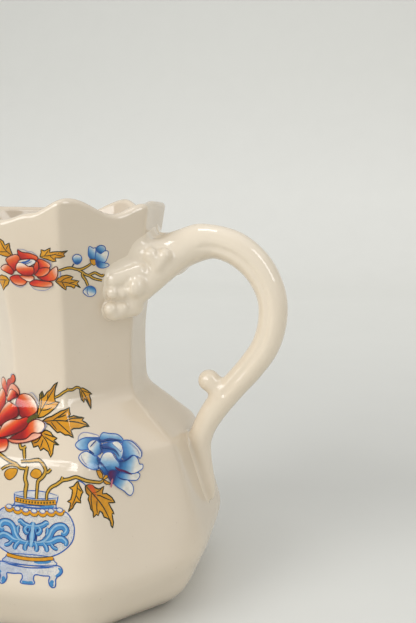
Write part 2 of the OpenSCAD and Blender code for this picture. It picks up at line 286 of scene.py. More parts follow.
# The mask, on the diagonal panel: along it, out from the axis, height and radius of each end.
MASK_RIDGES = [((2.8, 25.2, 97.6, 2.5), (9.8, 26.6, 99.2, 3.1)),
               ((3.2, 24.0, 94.4, 3.0), (9.2, 24.8, 94.6, 4.2)),
               ((3.2, 23.9, 88.7, 3.0), (9.2, 24.2, 89.7, 3.4)),
               ((14.2, 29.9, 101.3, 1.5), (12.9, 28.5, 104.2, 2.2)),
               ((14.2, 29.9, 101.3, 1.5), (16.5, 30.0, 104.1, 2.1))]
MASK_BALLS = [(8.1, 27.8, 95.7, 3.3), (1.9, 25.9, 94.1, 1.75), (4.7, 26.5, 94.0, 1.65),
              (1.6, 25.1, 89.4, 2.0), (5.0, 25.6, 89.3, 2.05), (8.8, 25.7, 90.7, 2.3)]
MASK_CREASES = [((-0.4, 27.7, 91.9, 0.6), (5.4, 28.2, 91.5, 0.6)),
                ((5.4, 28.2, 91.5, 0.6), (10.6, 28.3, 92.3, 0.6)),
                ((5.4, 29.2, 98.8, 0.4), (5.3, 29.0, 95.6, 0.5)),
                ((11.8, 30.6, 99.5, 0.5), (11.4, 29.6, 93.5, 0.5))]
# The mask of the far side sits a little further round and higher than its fellow. A point is moved
# the other way before it is measured, fully so at this distance short of where the move begins.
FAR_MOVE = np.array([2.97, -1.56, -1.5])
FAR_START, FAR_FULL = 36.0, 9.0
# The groove runs along this part of the loop's path, as far as the knob.
GROOVE_PART = slice(1, 48)
GROOVE_DROP = 1.5
GROOVE_SIZE = 0.75
# Over how far each form is rounded into the rest, and then the parts of the mask into each other.
GROOVE_BLEND, LIMB_BLEND, WEB_BLEND, KNOB_BLEND, MASK_BLEND = 1.1, 3.0, 2.0, 1.6, 1.1
RIDGE_BLEND, BALL_BLEND, CREASE_BLEND = 0.9, 0.6, 0.8
CRISP_FILLET = 0.9
TOP_FILLET = 3.4
TAIL_FILLET = 2.2
# How far the handle's thin skirt lies under the wall, and how deep the handle reaches into it.
SKIN_GAP = 0.06
CAP_DEPTH = 0.7
# The box in which the handle's surface is looked for, and the size of its cells.
HANDLE_BOX = ((15.0, -21.0, 25.0), (70.0, 21.0, 115.0))
CELL = 0.45
FAR_AWAY = 1e9


def curve_pieces(ends, steps):
    """Points of the smooth curve (Catmull and Rom's) from the second of the ends to the last but one."""
    out = []
    for p0, p1, p2, p3 in zip(ends, ends[1:], ends[2:], ends[3:]):
        for t in np.arange(steps) / steps:
            out.append(0.5 * (2 * p1 + (p2 - p0) * t + (2 * p0 - 5 * p1 + 4 * p2 - p3) * t * t
                              + (3 * p1 - p0 - 3 * p2 + p3) * t ** 3))
    return np.array(out)


def through(keys, steps):
    """A smooth open curve through the keys."""
    keys = np.array(keys, float)
    return np.vstack([curve_pieces(np.vstack([keys[:1], keys, keys[-1:]]), steps), keys[-1:]])


def far_from_bar(points, path):
    """Signed distance to a round bar whose path rows are x, y, z, radius."""
    best = np.full(len(points), FAR_AWAY)
    for a, b in zip(path[:-1], path[1:]):
        way = b[:3] - a[:3]
        t = np.clip((points - a[:3]) @ way / (way @ way), 0, 1)
        gap = np.linalg.norm(points - a[:3] - t[:, None] * way, axis=1) - (a[3] + (b[3] - a[3]) * t)
        best = np.minimum(best, gap)
    return best


def blend_min(a, b, k):
    """The smaller of two distances, with the meeting line rounded over k."""
    h = np.clip(0.5 + 0.5 * (b - a) / k, 0, 1)
    return b * (1 - h) + a * h - k * h * (1 - h)


def mask_points(rows):
    """Rows given along, out, height, radius on the diagonal panel of the +Y side."""
    r = np.array(rows, float)
    c = math.sqrt(0.5)
    return np.stack([c * (r[:, 1] + r[:, 0]), c * (r[:, 1] - r[:, 0]), r[:, 2], r[:, 3]], 1)


LOOP_PATH = through(LOOP_KEYS, 5)
LIMB_PATH = through(LIMB_KEYS, 4)
LOOP_MIDDLE = np.array([44.0, 86.0])


def groove_path():
    """The line of a shallow groove along each side of the loop, a little inside its middle."""
    path = LOOP_PATH[GROOVE_PART].copy()
    inward = LOOP_MIDDLE - path[:, [0, 2]]
    inward /= np.linalg.norm(inward, axis=1, keepdims=True)
    path[:, 0] += inward[:, 0] * GROOVE_DROP
    path[:, 2] += inward[:, 1] * GROOVE_DROP
    path[:, 1] = path[:, 3] * 0.95 + 0.5
    path[:, 3] = GROOVE_SIZE
    return path


GROOVE_PATH = groove_path()


def handle_field(points):
    """Signed distance to the handle alone: the bars, less the groove, with the masks blended on."""
    p = points.copy()
    far = (p[:, 1] > 0) * ease(p[:, 1] / 4) * ease((FAR_START - p[:, 0]) / FAR_FULL)
    p[:, 1] = np.abs(p[:, 1])
    level = p.copy()
    p += far[:, None] * FAR_MOVE
    d = far_from_bar(p, LOOP_PATH)
    d = -blend_min(-d, far_from_bar(p, GROOVE_PATH), GROOVE_BLEND)
    d = blend_min(d, far_from_bar(p, LIMB_PATH), LIMB_BLEND)
    for bar in (WEB, SADDLE):
        d = blend_min(d, far_from_bar(level, np.array(bar, float)), WEB_BLEND)
    d = blend_min(d, far_from_bar(p, np.array(KNOB, float)), KNOB_BLEND)
    mask = np.full(len(p), FAR_AWAY)
    near = p[:, 0] < FAR_START
    q = p[near]
    m = np.full(len(q), FAR_AWAY)
    for ridge in MASK_RIDGES:
        m = blend_min(m, far_from_bar(q, mask_points(ridge)), RIDGE_BLEND)
    for ball in MASK_BALLS:
        x = mask_points([ball])[0]
        m = blend_min(m, np.linalg.norm(q - x[:3], axis=1) - x[3], BALL_BLEND)
    for crease in MASK_CREASES:
        m = -blend_min(-m, far_from_bar(q, mask_points(crease)), CREASE_BLEND)
    mask[near] = m
    return blend_min(d, mask, MASK_BLEND)


def body_field(points):
    """Signed distance to the outside of the body, near enough."""
    z = points[:, 2]
    rho = np.hypot(points[:, 0], points[:, 1])
    angle = np.arctan2(points[:, 1], points[:, 0])
    size = outer_size(z)
    slope = (outer_size(z + 0.4) - outer_size(z - 0.4)) / 0.8
    return (rho - section(angle, size, z)) / np.sqrt(1 + slope ** 2)


def fillet(points):
    """How widely the handle is blended into the body: softly at its top and tail, crisply between."""
    top = (TOP_FILLET - CRISP_FILLET) * ease((points[:, 2] - 98) / 6)
    tail = (TAIL_FILLET - CRISP_FILLET) * ease((60 - points[:, 2]) / 6)
    return CRISP_FILLET + top + tail


def skin_field(points):
    """The handle run into the body with its fillet."""
    return blend_min(handle_field(points), body_field(points) + SKIN_GAP, fillet(points))


def closed_field(points):
    """The same, cut off inside the wall and past the fillet so that it closes round the handle."""
    h, b = handle_field(points), body_field(points)
    k = fillet(points)
    skin = blend_min(h, b + SKIN_GAP, k)
    return np.maximum(np.maximum(skin, -(b + CAP_DEPTH)), h - k)


def both_ends(axis):
    """Index ranges that leave out the last and the first layer along an axis."""
    low, high = [slice(None)] * 3, [slice(None)] * 3
    low[axis], high[axis] = slice(0, -1), slice(1, None)
    return tuple(low), tuple(high)


def surface_of(field, low, high, step):
    """The zero surface of a field, as points and four-sided faces (naive surface nets)."""
    axes = [np.arange(a, b + step, step) for a, b in zip(low, high)]
    shape = [len(a) for a in axes]
    values = np.empty(shape)
    for i, x in enumerate(axes[0]):
        gy, gz = np.meshgrid(axes[1], axes[2], indexing="ij")
        slab = np.stack([np.full(gy.size, x), gy.ravel(), gz.ravel()], 1)
        values[i] = field(slab).reshape(gy.shape)
    inside = values < 0
    cells = [n - 1 for n in shape]
    total = np.zeros(cells + [3])
    count = np.zeros(cells)
    for axis in range(3):
        others = [a for a in range(3) if a != axis]
        lo, hi = both_ends(axis)
        va, vb = values[lo], values[hi]
        cross = inside[lo] != inside[hi]
        t = np.where(cross, va / np.where(cross, va - vb, 1), 0)
        for da in (0, 1):
            for db in (0, 1):
                cut = [slice(None)] * 3
                cut[others[0]] = slice(da, da + cells[others[0]])
                cut[others[1]] = slice(db, db + cells[others[1]])
                c = cross[tuple(cut)]
                where = np.zeros(cells + [3])
                where[..., axis] = t[tuple(cut)]
                where[..., others[0]] = da
                where[..., others[1]] = db
                total += where * c[..., None]
                count += c
    used = count > 0
    number = -np.ones(cells, int)
    number[used] = np.arange(used.sum())
    base = np.stack(np.nonzero(used), 1)
    points = np.array(low) + (base + total[used] / count[used][:, None]) * step
    faces = []
    for axis in range(3):
        u, v = [(1, 2), (2, 0), (0, 1)][axis]
        lo, hi = both_ends(axis)
        a, b = inside[lo], inside[hi]
        idx = np.stack(np.nonzero(a != b), 1)
        keep = (idx[:, u] > 0) & (idx[:, v] > 0) & (idx[:, u] < cells[u]) & (idx[:, v] < cells[v])
        idx = idx[keep]
        starts_inside = a[tuple(idx.T)]
        quad = []
        for du, dv in ((1, 1), (0, 1), (0, 0), (1, 0)):
            c = idx.copy()
            c[:, u] -= du
            c[:, v] -= dv
            quad.append(number[tuple(c.T)])
        quad = np.stack(quad, 1)
        quad[~starts_inside] = quad[~starts_inside][:, ::-1]
        faces.append(quad)
    return points, np.concatenate(faces)


def settle(points, field, rounds=4, reach=0.25):
    """Moves points onto the zero surface of a smooth field."""
    p = points.copy()
    e = 0.02
    for _ in range(rounds):
        f = field(p)
        g = np.stack([(field(p + d) - field(p - d)) / (2 * e) for d in np.eye(3) * e], 1)
        step = -f[:, None] * g / np.maximum((g * g).sum(1), 0.2)[:, None]
        size = np.linalg.norm(step, axis=1, keepdims=True)
        p += step * np.minimum(1, reach / np.maximum(size, 1e-9))
    return p


def make_handle():
    points, faces = surface_of(closed_field, *HANDLE_BOX, CELL)
    outer = (body_field(points) > -CAP_DEPTH / 2) & (handle_field(points) < fillet(points) - CELL)
    points[outer] = settle(points[outer], skin_field)
    return new_mesh("jug_handle", points, faces.tolist())


def ink(red, green, blue):
    """A colour given as 0 to 255 display values, turned into the shader's linear ones."""
    out = []
    for v in (red / 255, green / 255, blue / 255):
        out.append(v / 12.92 if v <= 0.04045 else ((v + 0.055) / 1.055) ** 2.4)
    return (*out, 1.0)


# ---------------------------------------------------------------- the printed decoration
# The artwork is drawn flat, in millimetres: q runs across the panels as they are seen square to the
# upright edge between the front panel and the next one, and z is the height on the jug.
ART_WAY = math.radians(22.5)
PANEL_STRETCH = 1 / math.cos(ART_WAY)
ART_Q = np.arange(-44, 22, 0.25)
ART_Z = np.arange(16, 116, 0.5)
ART_GAP = 0.36
FIRST_LIFT = 0.03
LEVEL = 0.011


def art_table():
    """For each height, the angle on the jug at which each q lies. Past the far edge of the front
    panel q goes on round the corner at the same scale."""
    angle = np.radians(np.arange(-215, -0.1, 0.25))
    rows = []
    for z in ART_Z:
        zz = np.full(len(angle), z)
        r = section(angle, outer_size(zz), zz)
        x, y = r * np.cos(angle), r * np.sin(angle)
        q = x * math.cos(ART_WAY) + y * math.sin(ART_WAY)
        run = np.concatenate([[0], np.cumsum(np.hypot(np.diff(x), np.diff(y)))])
        turn = np.searchsorted(angle, corner_angle(5, zz[:1])[0] - TAU + math.radians(5))
        q[:turn] = q[turn] - (run[turn] - run[:turn]) / PANEL_STRETCH
        rows.append(np.interp(ART_Q, q, angle))
    return np.array(rows)


ART_ANGLES = art_table()


def on_jug(q, z, lift, half_turn):
    """Places artwork points on the jug, lifted off it a little, and gives the wall's direction there."""
    i = np.clip((z - ART_Z[0]) / (ART_Z[1] - ART_Z[0]), 0, len(ART_Z) - 1.001)
    j = np.clip((q - ART_Q[0]) / (ART_Q[1] - ART_Q[0]), 0, len(ART_Q) - 1.001)
    i0, j0 = i.astype(int), j.astype(int)
    u, v = i - i0, j - j0
    angle = ((1 - u) * ((1 - v) * ART_ANGLES[i0, j0] + v * ART_ANGLES[i0, j0 + 1])
             + u * ((1 - v) * ART_ANGLES[i0 + 1, j0] + v * ART_ANGLES[i0 + 1, j0 + 1]))
    if half_turn:
        angle = angle + math.pi
    r = section(angle, outer_size(z), z)
    p = np.stack([r * np.cos(angle), r * np.sin(angle), z], 1)
    e = 0.05
    way = np.stack([body_field(p + d) - body_field(p - d) for d in np.eye(3) * e], 1)
    way /= np.linalg.norm(way, axis=1, keepdims=True)
    return p + way * lift[:, None], way


GLOSS_SHARE = 0.025


def shade(*tones):
    """Colours as they are seen, less the share of light that the gloss adds."""
    return [np.maximum(0, np.array(ink(*t)[:3]) - GLOSS_SHARE) for t in tones]


RED = shade((142, 26, 2), (206, 56, 6), (226, 112, 60), (240, 218, 196))
RED_FLAT = shade((150, 36, 20), (190, 58, 30), (214, 88, 54), (222, 120, 88))
SALMON = shade((196, 96, 66), (222, 134, 104), (232, 160, 132), (238, 190, 166))
BLUE = shade((34, 84, 142), (74, 134, 184), (142, 180, 206), (222, 218, 206))
BLUE_PALE = shade((96, 146, 192), (160, 188, 208), (212, 212, 206), (226, 216, 198))
GOLD = shade((138, 94, 22), (196, 132, 30), (210, 146, 36), (216, 154, 46))
OCHRE = shade((214, 84, 28), (214, 108, 30), (208, 132, 34), (210, 146, 36))
CREAM = shade((196, 200, 206), (206, 208, 208), (216, 212, 204), (222, 214, 200))
VASE_FILL = shade((178, 186, 198), (190, 194, 200), (202, 202, 200), (210, 206, 196))
OLIVE = shade((92, 84, 34), (132, 108, 40), (178, 138, 52), (196, 152, 60))
MAROON = shade((92, 22, 16))[0]
LEAF_LINE = shade((62, 62, 36))[0]
TIP_LINE = shade((66, 78, 92))[0]
BLUE_LINE = shade((60, 98, 164))[0]
NAVY = shade((28, 66, 124))[0]
GHOST_LINE = shade((146, 148, 176))[0]
PLUM = shade((88, 44, 84))[0]
MISPRINT = shade((188, 108, 122))[0]


class Sheet:
    """Flat artwork that will be laid on the jug as one mesh: points, levels, colours and faces."""

    def __init__(self):
        self.flat, self.lift, self.tone, self.dots, self.faces = [], [], [], [], []
        self.count = 0
        self.level = 0

    def add(self, flat, faces, tones, dots=0.0):
        self.flat.append(flat)
        self.lift.append(np.full(len(flat), FIRST_LIFT + LEVEL * self.level))
        self.tone.append(np.broadcast_to(tones, (len(flat), 3)))
        self.dots.append(np.full(len(flat), dots))
        self.faces += [[n + self.count for n in f] for f in faces]
        self.count += len(flat)


def closed_curve(keys, steps=5):
    """A smooth closed curve through the keys."""
    keys = np.array(keys, float)
    return curve_pieces(np.vstack([keys[-1:], keys, keys[:2]]), steps)


def straight_outline(keys, gap=0.4):
    """A closed outline with its corners kept, cut into short pieces."""
    out = []
    for a, b in zip(keys, np.roll(keys, -1, axis=0)):
        n = max(1, int(np.linalg.norm(b - a) / gap))
        out += [a + (b - a) * t for t in np.arange(n) / n]
    return np.array(out)


def inside_outline(points, outline):
    x, y = points[:, 0], points[:, 1]
    hit = np.zeros(len(points), bool)
    for a, b in zip(outline, np.roll(outline, -1, axis=0)):
        if a[1] != b[1]:
            crosses = (a[1] > y) != (b[1] > y)
            hit ^= crosses & (x < (b[0] - a[0]) * (y - a[1]) / (b[1] - a[1]) + a[0])
    return hit


def patch(sheet, outline, tones, dark, pale, dots=0.0):
    """Fills an outline with a gradient that runs from the point dark to the point pale."""
    low, high = outline.min(0), outline.max(0)
    gq, gz = np.meshgrid(np.arange(low[0], high[0], ART_GAP), np.arange(low[1], high[1], ART_GAP))
    gq[1::2] += ART_GAP / 2
    grid = np.stack([gq.ravel(), gz.ravel()], 1)
    grid = grid[inside_outline(grid, outline)]
    clear = np.linalg.norm(grid[:, None] - outline[None], axis=2).min(1) > 0.45 * ART_GAP
    points = np.concatenate([outline, grid[clear]])
    ring = list(range(len(outline)))
    flat, _, faces, *_ = delaunay_2d_cdt([Vector(p) for p in points.tolist()], [], [ring], 1, 1e-6)
    flat = np.array([tuple(p) for p in flat])
    dark, pale = np.array(dark, float), np.array(pale, float)
    way = pale - dark
    t = np.clip(1.18 * (flat - dark) @ way / (way @ way), 0, 1)
    stops = np.linspace(0, 1, len(tones))
    table = np.array(tones)
    colour = np.stack([np.interp(t, stops, table[:, c]) for c in range(3)], 1)
    sheet.add(flat, [list(f) for f in faces], colour, dots)


def stroke(sheet, keys, width, tone, taper=0.4, smooth=6):
    """A drawn line through the keys, thinner at both ends."""
    path = through(keys, smooth) if len(keys) > 2 else np.array(keys, float)
    if len(keys) == 2:
        path = path[0] + (path[1] - path[0]) * np.linspace(0, 1, 6)[:, None]
    way = np.gradient(path, axis=0)
    way /= np.maximum(np.linalg.norm(way, axis=1, keepdims=True), 1e-9)
    side = np.stack([-way[:, 1], way[:, 0]], 1)
    t = np.linspace(0, 1, len(path))
    half = width / 2 * (taper + (1 - taper) * np.minimum(1, 4 * np.minimum(t, 1 - t)))[:, None]
    flat = np.concatenate([path - side * half, path, path + side * half])
    n = len(path)
    faces = []
    for i in range(n - 1):
        faces.append((i, i + 1, n + i + 1, n + i))
        faces.append((n + i, n + i + 1, 2 * n + i + 1, 2 * n + i))
    sheet.add(flat, faces, tone)


def outline_stroke(sheet, outline, width, tone):
    stroke(sheet, np.vstack([outline, outline[:1]]), width, tone, taper=1.0, smooth=1)


def pairs(run, middle=(0, 0)):
    """Points from a run of numbers q, z, q, z ... in tenths of a millimetre about a middle."""
    return np.reshape(run, (-1, 2)) / 10 + middle


def strokes(sheet, middle, rows):
    for width, tone, taper, runs in rows:
        for run in runs:
            stroke(sheet, pairs(run, middle), width, tone, taper)


def flower(sheet, middle, petals, *layers):
    """Petals with a gradient and a drawn edge, each lying over the last, then layers of lines."""
    for (tones, line, width), ends, outline in petals:
        dark, pale = pairs(ends, middle)
        curve = closed_curve(pairs(outline, middle))
        sheet.level += 1
        patch(sheet, curve, tones, dark, pale)
        sheet.level += 1
        outline_stroke(sheet, curve, width, line)
    for rows in layers:
        sheet.level += 1
        strokes(sheet, middle, rows)


def leaf_shape(middle, outline, veins):
    """A leaf's outline and its veins as points."""
    return pairs(outline, middle), [pairs(vein, middle) for vein in veins]


def leaf(sheet, outline, veins, width=0.28, tones=GOLD[::-1]):
    """A toothed leaf with a dark edge and dark veins."""
    curve = straight_outline(outline)
    centre = curve.mean(0)
    far = curve[np.argmax(np.linalg.norm(curve - centre, axis=1))]
    patch(sheet, curve, tones, centre - (far - centre) * 0.5, far + (far - centre) * 0.6)
    sheet.level += 1
    outline_stroke(sheet, curve, width, LEAF_LINE)
    for vein in veins:
        stroke(sheet, vein, width * 0.85, LEAF_LINE)
    sheet.level -= 1


def stems(sheet, middle, rows):
    """Twigs: each a dark line with a lighter one along its middle."""
    for width, run in rows:
        keys = pairs(run, middle)
        stroke(sheet, keys, width + 0.5, LEAF_LINE, taper=0.8)
        sheet.level += 1
        stroke(sheet, keys, width * 0.95, OLIVE[3], taper=0.7)
        sheet.level -= 1


def flipped(points, middle):
    """The same points mirrored left to right about q = middle."""
    return (2 * middle, 0) + points[::-1] * (-1, 1)


# The plants are tables. A petal has its look, the dark and the pale end of its gradient and its
# outline; lines have their width, tone and taper, then each its run; a leaf has its middle,
# outline and veins.
PETAL_LINE = 0.24
RED_PETAL = (RED, MAROON, PETAL_LINE)
FLAT_PETAL = (RED_FLAT, MAROON, PETAL_LINE)
SALMON_PETAL = (SALMON, MAROON, PETAL_LINE)
PALE_HEART = (BLUE_PALE, MAROON, PETAL_LINE)
BLUE_PETAL = (BLUE, BLUE_LINE, PETAL_LINE)
BLUE_FOLD = (BLUE, BLUE_LINE, PETAL_LINE / 2)
PALE_PETAL = (BLUE_PALE, GHOST_LINE, PETAL_LINE)
NAVY_PETAL = (BLUE, NAVY, PETAL_LINE)
PLUM_PETAL = ([PLUM, NAVY, *BLUE[:2]], NAVY, PETAL_LINE)

NECK_PEONY = [
    (RED_PETAL, [-14,16, 20,65], [-25,46, -14,40, 6,37, 24,30, 27,22, 16,16, -12,18, -23,27]),
    (RED_PETAL, [-34,-11, -59,42], [-56,22, -34,33, -22,29, -20,16, -30,4, -33,-11, -42,-10, -53,8]),
    (RED_PETAL, [-42,-22, -72,8], [-72,-6, -66,3, -54,6, -43,-4, -38,-15, -44,-22, -58,-16]),
    (RED_PETAL, [-24,-18, -28,-64], [-49,-32, -38,-24, -22,-24, -5,-37, -9,-48, -24,-52, -40,-46]),
    (RED_PETAL, [-2,-6, -2,-44], [-22,-26, -10,-36, 2,-41, 13,-37, 14,-26, -4,-22]),
    (RED_PETAL, [32,-36, 92,-8], [24,-27, 46,-23, 61,-7, 75,2, 78,-14, 74,-30, 64,-37, 42,-37]),
    (RED_PETAL, [27,-4, 64,20], [26,20, 38,21, 58,9, 57,-1, 40,-4, 24,0]),
    (RED_PETAL, [18,-26, 41,-78], [4,-43, 18,-35, 40,-38, 61,-41, 62,-52, 46,-55, 24,-54, 8,-51]),
    (RED_PETAL, [20,-1, 53,-36], [17,-19, 26,-7, 42,-1, 57,-3, 54,-15, 41,-24, 26,-26]),
    (PALE_HEART, [20,-20, -10,20], [-24,16, -6,21, 16,21, 22,13, 4,2, -14,6]),
    (RED_PETAL, [26,-16, 8,34], [12,-16, 16,2, 24,16, 29,10, 28,-6, 19,-19]),
    (RED_PETAL, [-6,-23, -9,12], [-31,-6, -25,12, -10,10, 2,2, 15,0, 16,-16, 6,-24, -14,-22])]
NECK_PEONY_LINES = [
    (0.5, BLUE_LINE, 0.4, [[-17,12, -4,14, 8,20]]),
    (0.22, BLUE_LINE, 0.4, [[-11,9, 0,10, 12,16]]),
    (0.2, GHOST_LINE, 0.4, [[-25,49, -8,47, 2,42, 14,41, 27,31], [-47,-41, -32,-53, -19,-56, -7,-49],
     [40,23, 54,18, 61,9, 60,-3], [5,-50, 17,-61, 36,-64, 51,-61, 63,-51]])]
BELLY_PEONY = [
    (RED_PETAL, [-40,36, -82,88], [-30,40, -36,66, -52,84, -72,82, -80,64, -68,48, -48,38]),
    (RED_PETAL, [-38,-48, -56,-90], [-36,-50, -62,-54, -70,-70, -54,-86, -34,-84, -26,-70]),
    (RED_PETAL, [-36,-34, -92,-28], [-28,-26, -48,-14, -74,-10, -90,-24, -84,-44, -60,-56, -36,-50]),
    (RED_PETAL, [-40,4, -94,42], [-30,6, -34,28, -52,46, -74,50, -90,34, -92,12, -72,-6, -48,-12]),
    (FLAT_PETAL, [-15,60, 4,134], [-34,68, -24,87, -6,94, 7,107, 18,109, 22,98, 16,86, -8,72, -26,54]),
    (SALMON_PETAL, [28,42, -8,96], [-28,42, -16,66, 2,80, 18,82, 30,70, 31,52, 12,44]),
    (RED_PETAL, [14,40, -9,63], [-26,33, -14,56, 4,65, 20,63, 29,49, 12,40, -12,29]),
    (RED_PETAL, [-24,-50, -16,-82], [-34,-52, -16,-50, -2,-51, 0,-65, -9,-76, -26,-78, -38,-68]),
    (SALMON_PETAL, [30,-24, 70,-70], [0,-50, 26,-51, 48,-48, 68,-35, 90,-36, 78,-46, 44,-56, 12,-58]),
    (RED_PETAL, [38,-28, 91,-26], [6,-49, 40,-30, 56,-14, 78,-5, 98,-12, 97,-26, 84,-34, 66,-35, 46,-48]),
    (RED_PETAL, [34,12, 76,46], [28,48, 44,57, 62,53, 75,38, 81,16, 66,3, 42,-4, 28,8, 21,24]),
    (RED_PETAL, [20,-31, 4,-4], [-24,-48, -18,-26, 0,-10, 30,-7, 51,-1, 58,-10, 44,-28, 14,-40]),
    (RED_PETAL, [4,-2, -14,30], [-32,4, -18,23, 0,30, 23,23, 30,10, 24,-2, -2,-12, -26,-24])]
BELLY_PEONY_LINES = [
    (0.9, OLIVE[0], 0.4, [[52,-13, 66,-2, 84,3]]),
    (0.5, MAROON, 0.4, [[27,19, 30,8, 26,0], [22,56, 28,48, 21,40]]),
    (0.22, GHOST_LINE, 0.4, [[57,58, 68,61, 76,51, 82,40, 79,28], [0,100, 6,109, 17,111], [98,-10,
     104,-15, 97,-25, 90,-32]])]
BELLY_BLUE = [
    (PALE_PETAL, [-70,40, -66,62], [-93,52, -91,62, -78,67, -54,61, -37,53, -55,48, -80,48]),
    (BLUE_PETAL, [-54,34, -116,50], [-102,44, -94,52, -76,56, -54,53, -36,49, -34,38, -50,29, -72,32,
     -90,34]),
    (BLUE_PETAL, [-38,0, -82,18], [-95,18, -88,27, -74,29, -64,24, -48,16, -38,6, -38,-8, -52,-13, -68,-7,
     -84,4]),
    (BLUE_PETAL, [-36,18, -60,40], [-70,39, -62,47, -46,47, -34,36, -36,22, -50,16, -64,26]),
    (BLUE_PETAL, [-8,36, -2,59], [-36,48, -26,58, -8,54, 14,49, 28,39, 29,30, 10,36, -20,39, -32,40]),
    (BLUE_PETAL, [26,4, 72,18], [29,32, 40,33, 54,28, 68,16, 78,2, 74,-11, 66,-6, 50,0, 32,-6, 22,2,
     24,18]),
    (BLUE_PETAL, [-10,19, 18,34], [-32,34, -16,35, 0,36, 18,32, 27,18, 20,0, 10,-2, 2,12, -12,19,
     -30,20]),
    (BLUE_FOLD, [4,6, 16,26], [-2,34, 14,34, 25,23, 20,13, 8,23]),
    (BLUE_PETAL, [16,-14, 66,-32], [12,-4, 32,-8, 54,-1, 66,-11, 70,-25, 79,-28, 78,-38, 66,-43, 50,-45,
     32,-38, 14,-30]),
    (BLUE_PETAL, [6,-42, 52,-54], [0,-32, 14,-35, 30,-40, 46,-45, 64,-46, 69,-54, 60,-63, 46,-61, 32,-57,
     10,-54]),
    (BLUE_PETAL, [-2,-46, 32,-74], [-10,-41, 6,-44, 22,-54, 34,-58, 46,-72, 48,-86, 42,-96, 33,-94,
     22,-82, 4,-68, -6,-56]),
    (BLUE_PETAL, [-22,-26, -12,16], [-40,2, -28,17, -8,16, 1,4, 11,-10, 10,-20, -6,-26, -24,-31,
     -32,-18]),
    (NAVY_PETAL, [-26,-24, -64,30], [-41,2, -31,-8, -24,-20, -20,-28, -30,-30, -36,-20, -44,-8]),
    (PLUM_PETAL, [-12,-34, 50,-40], [-21,-31, -14,-23, 2,-26, 16,-29, 4,-36, -4,-48, -8,-57, -15,-48])]
BELLY_BLUE_LINES = [
    (0.36, NAVY, 0.2, [[-34,39, -28,29, -14,26, 4,17, 14,4], [-37,48, -31,42, -10,42, 26,34], [12,-6,
     30,-8, 52,-1], [-38,36, -32,24, -40,16], [-48,14, -42,2, -32,-10]]),
    (0.26, NAVY, 0.4, [[-66,29, -60,24, -54,19], [-64,35, -54,41, -46,45], [4,-42, 16,-51, 30,-56]]),
    (0.18, GHOST_LINE, 0.4, [[-88,23, -87,15, -78,4, -70,1], [42,30, 56,19, 68,6, 71,-6], [49,33, 66,21,
     80,3, 78,-9]])]
BELLY_BLUE_SLIPS = [
    (0.5, PLUM, 0.3, [[0,-17, 9,-26, 26,-34, 45,-46]]),
    (0.5, MISPRINT, 0.1, [[-9,-44, -12,-54, -14,-66]])]
NECK_BLUE = [
    (BLUE_PETAL, [-8,44, 14,66], [-10,54, -7,73, 4,68, 11,68, 10,50, 9,38, 0,37, -7,43]),
    (BLUE_PETAL, [14,29, 36,50], [13,58, 24,53, 36,59, 45,58, 46,48, 42,36, 38,29, 24,24, 10,30, 9,44]),
    (BLUE_PETAL, [22,56, 39,76], [11,64, 16,72, 26,75, 36,71, 38,62, 32,57, 24,52, 18,58]),
    (BLUE_PETAL, [19,26, 49,17], [10,34, 18,32, 34,26, 43,24, 48,18, 36,12, 24,12, 14,18]),
    (BLUE_PETAL, [-42,30, -41,52], [-53,43, -48,51, -40,53, -31,49, -28,40, -32,31, -40,26, -48,30]),
    (BLUE_PETAL, [-1,-38, -11,-61], [-26,-52, -18,-41, -6,-37, 6,-43, 10,-54, 6,-63, -4,-67, -16,-64])]
NECK_BLUE_LINES = [
    (0.22, BLUE_LINE, 0.4, [[-13,-42, -15,-53, -11,-64]])]
CALYXES = [
    ((6, 47), [-11,15, -1,13, 5,3, 6,-8, -3,-6, -8,4], []),
    ((8, 46), [-15,0, -7,9, 6,10, 0,2, -10,-2], []),
    ((8, 45), [-14,8, -5,4, 8,-7, -6,-5, -12,1], []),
    ((6, 103), [-6,8, 9,7, 11,-6, 5,-10, -3,-4], [])]
NECK_STEMS = [
    (0.4, [-71,10, -59,14, -45,17, -34,16, -22,12, -8,12, 6,18, 17,25]),
    (0.4, [-22,12, -8,4, 2,-4, 12,-8, 22,-15, 34,-20, 48,-24]),
    (0.4, [10,-7, 20,-3, 29,-1, 39,-7, 49,-11, 53,-6]),
    (0.4, [-7,2, -6,-8, 2,-20, 8,-36])]
NECK_TWIGS = [
    (0.4, TIP_LINE, 0.8, [[-36,17, -33,22, -29,28]]),
    (0.32, GHOST_LINE, 0.8, [[-68,10, -65,2, -69,-8]])]
NECK_LEAVES = [
    ((-4, 105), [-38,-2, -34,8, -34,17, -25,14, -10,22, -12,10, 4,12, 20,12, 35,14, 24,6, 27,-1, 16,-5,
     1,-5, 4,-14, -4,-15, -18,-9, -29,-6], [[-36,-1, -10,2, 28,11], [-26,0, -14,16], [-12,1, 0,-10], [4,3,
     22,0]]),
    ((-1, 98), [-29,1, -22,10, -12,16, 0,18, 10,15, 18,11, 12,4, 22,2, 34,-1, 28,-8, 38,-21, 24,-13,
     20,-21, 12,-15, -1,-13, -2,-24, -12,-16, -22,-6], [[-26,1, 0,-3, 34,-16], [-16,0, -4,8, 12,12],
     [-12,-1, -4,-18], [4,-5, 28,-2]]),
    ((-17, 107), [-12,26, -2,19, 2,8, 14,14, 15,0, 21,-18, 8,-24, -6,-20, -18,-16, -26,-6, -18,4],
     [[18,-19, 2,-4, -10,20], [8,-10, -16,-10], [4,-4, 12,10]]),
    ((-19, 97), [29,12, 21,22, 8,26, -8,22, -20,8, -8,2, 1,-6, 8,-18, 16,-8, 25,0], [[26,12, 10,12,
     -14,10], [18,12, 8,-10]])]
